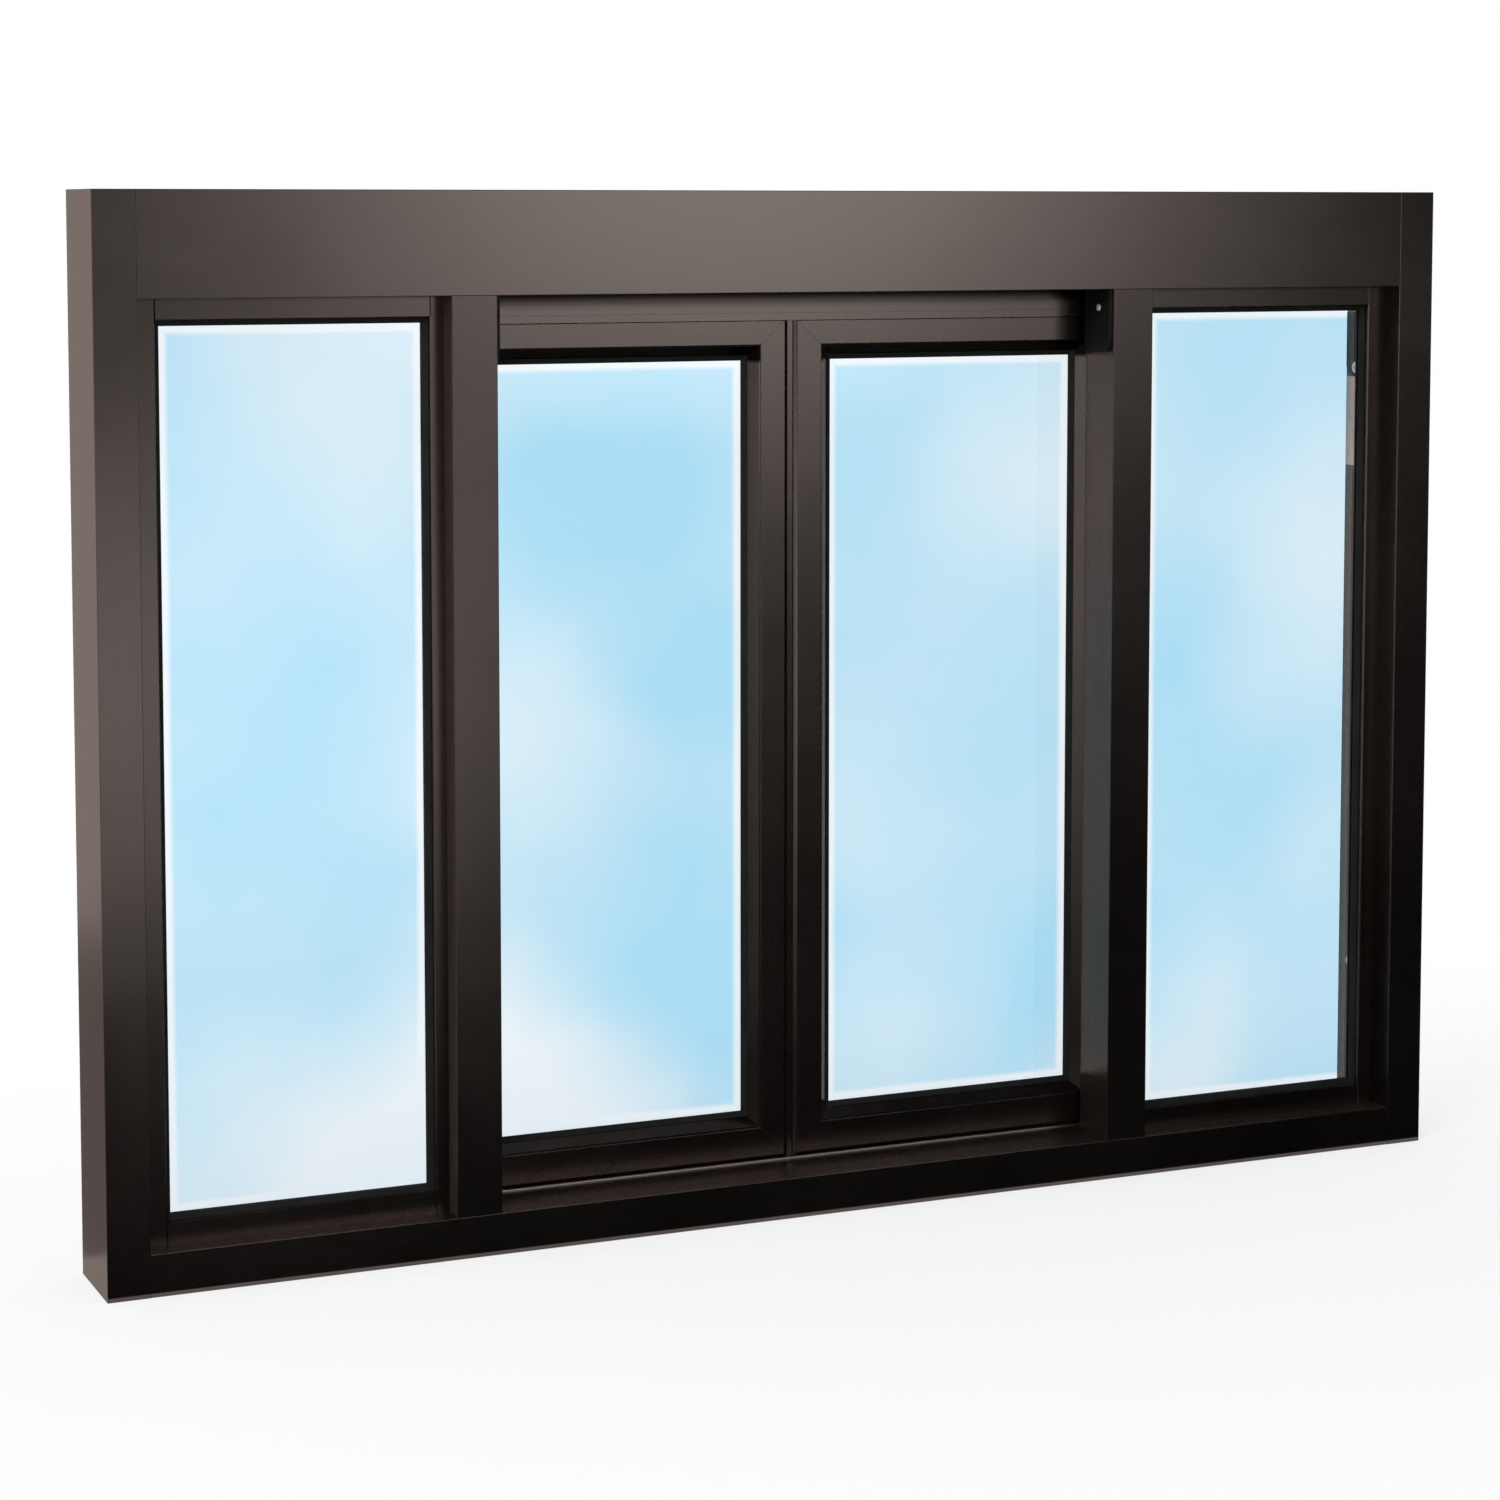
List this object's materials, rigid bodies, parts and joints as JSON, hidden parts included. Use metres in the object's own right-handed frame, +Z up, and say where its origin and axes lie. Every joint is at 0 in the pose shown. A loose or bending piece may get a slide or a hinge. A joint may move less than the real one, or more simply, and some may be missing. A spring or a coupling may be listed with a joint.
{
  "type": "bi-parting sliding service window",
  "caption": "Aluminium service window with fixed side lites, mullions and two top-hung glazed sashes that meet in the middle, below a deep header box.",
  "frame": {"origin": "middle of the sill's underside, midway through the frame's depth", "axes": "+X to the right as seen from outside, +Y inwards from the outer face to the room, +Z up"},
  "size_m": [1.616, 0.1142, 1.152],
  "materials": {
    "frame_bronze": "satin anodised",
    "sash_bronze": "satin anodised",
    "stop_bronze": "satin anodised",
    "clear_glass": "polished",
    "black_rubber": "matte",
    "black_pile": "matte",
    "zinc_steel": "zinc plated",
    "mill_aluminium": "mill",
    "black_steel": "satin",
    "taupe_plate": "satin"
  },
  "bodies": {
    "root": {"header_box": "frame_bronze", "header_cover": "frame_bronze", "jamb_plate": "taupe_plate", "jamb_strap": "black_steel", "latch": "black_steel", "left_bottom_rail": "sash_bronze", "left_fixed_gaskets": "black_rubber", "left_fixed_glass": "clear_glass", "left_front_stops": "stop_bronze", "left_jamb": "frame_bronze", "left_meeting_stile": "sash_bronze", "left_mullion": "frame_bronze", "left_mullion_brush": "black_pile", "left_outer_stile": "sash_bronze", "left_rear_stops": "stop_bronze", "left_sash_beads": "sash_bronze", "left_sash_gaskets": "black_rubber", "left_sash_glass": "clear_glass", "left_sash_hangers": "zinc_steel", "left_sash_pull": "sash_bronze", "left_top_rail": "sash_bronze", "meeting_seal": "black_rubber", "mullion_blocks": "black_steel", "right_bottom_rail": "sash_bronze", "right_fixed_gaskets": "black_rubber", "right_fixed_glass": "clear_glass", "right_front_stops": "stop_bronze", "right_jamb": "frame_bronze", "right_meeting_stile": "sash_bronze", "right_mullion": "frame_bronze", "right_mullion_brush": "black_pile", "right_outer_stile": "sash_bronze", "right_rear_stops": "stop_bronze", "right_sash_beads": "sash_bronze", "right_sash_gaskets": "black_rubber", "right_sash_glass": "clear_glass", "right_sash_hangers": "zinc_steel", "right_sash_pull": "sash_bronze", "right_top_rail": "sash_bronze", "sash_track": "mill_aluminium", "sill": "frame_bronze", "sill_guide": "mill_aluminium", "strike": "black_steel", "track_buffers": "black_rubber", "track_fascia": "frame_bronze"}
  },
  "joints": []
}
